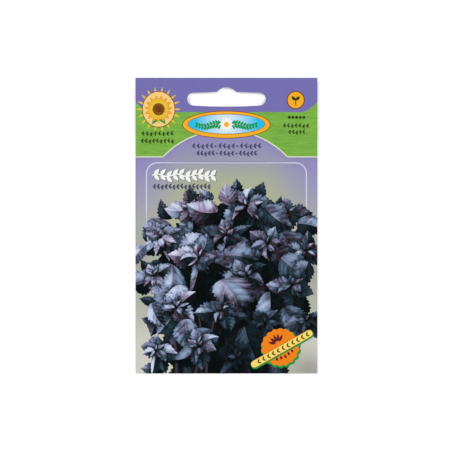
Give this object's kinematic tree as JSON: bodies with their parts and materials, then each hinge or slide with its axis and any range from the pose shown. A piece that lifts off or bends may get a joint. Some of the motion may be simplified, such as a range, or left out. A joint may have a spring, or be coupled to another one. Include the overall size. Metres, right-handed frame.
{
  "type": "seed packet",
  "caption": "Flat sealed paper packet for garden seeds, with a printed front, a swollen pocket, sealed rims and a hang slot through its header.",
  "frame": {"origin": "middle of the packet's footprint, on the surface that it lies on with its printed front up", "axes": "+X across the print to its right, +Y up the print towards the hang slot, +Z out of the printed front"},
  "size_m": [0.08, 0.13, 0.0032],
  "materials": {
    "front_print": "satin",
    "back_print": "satin",
    "seed_coat": "matte"
  },
  "bodies": {
    "root": {"front_panel": "front_print", "back_panel": "back_print", "seeds": "seed_coat"}
  },
  "joints": []
}
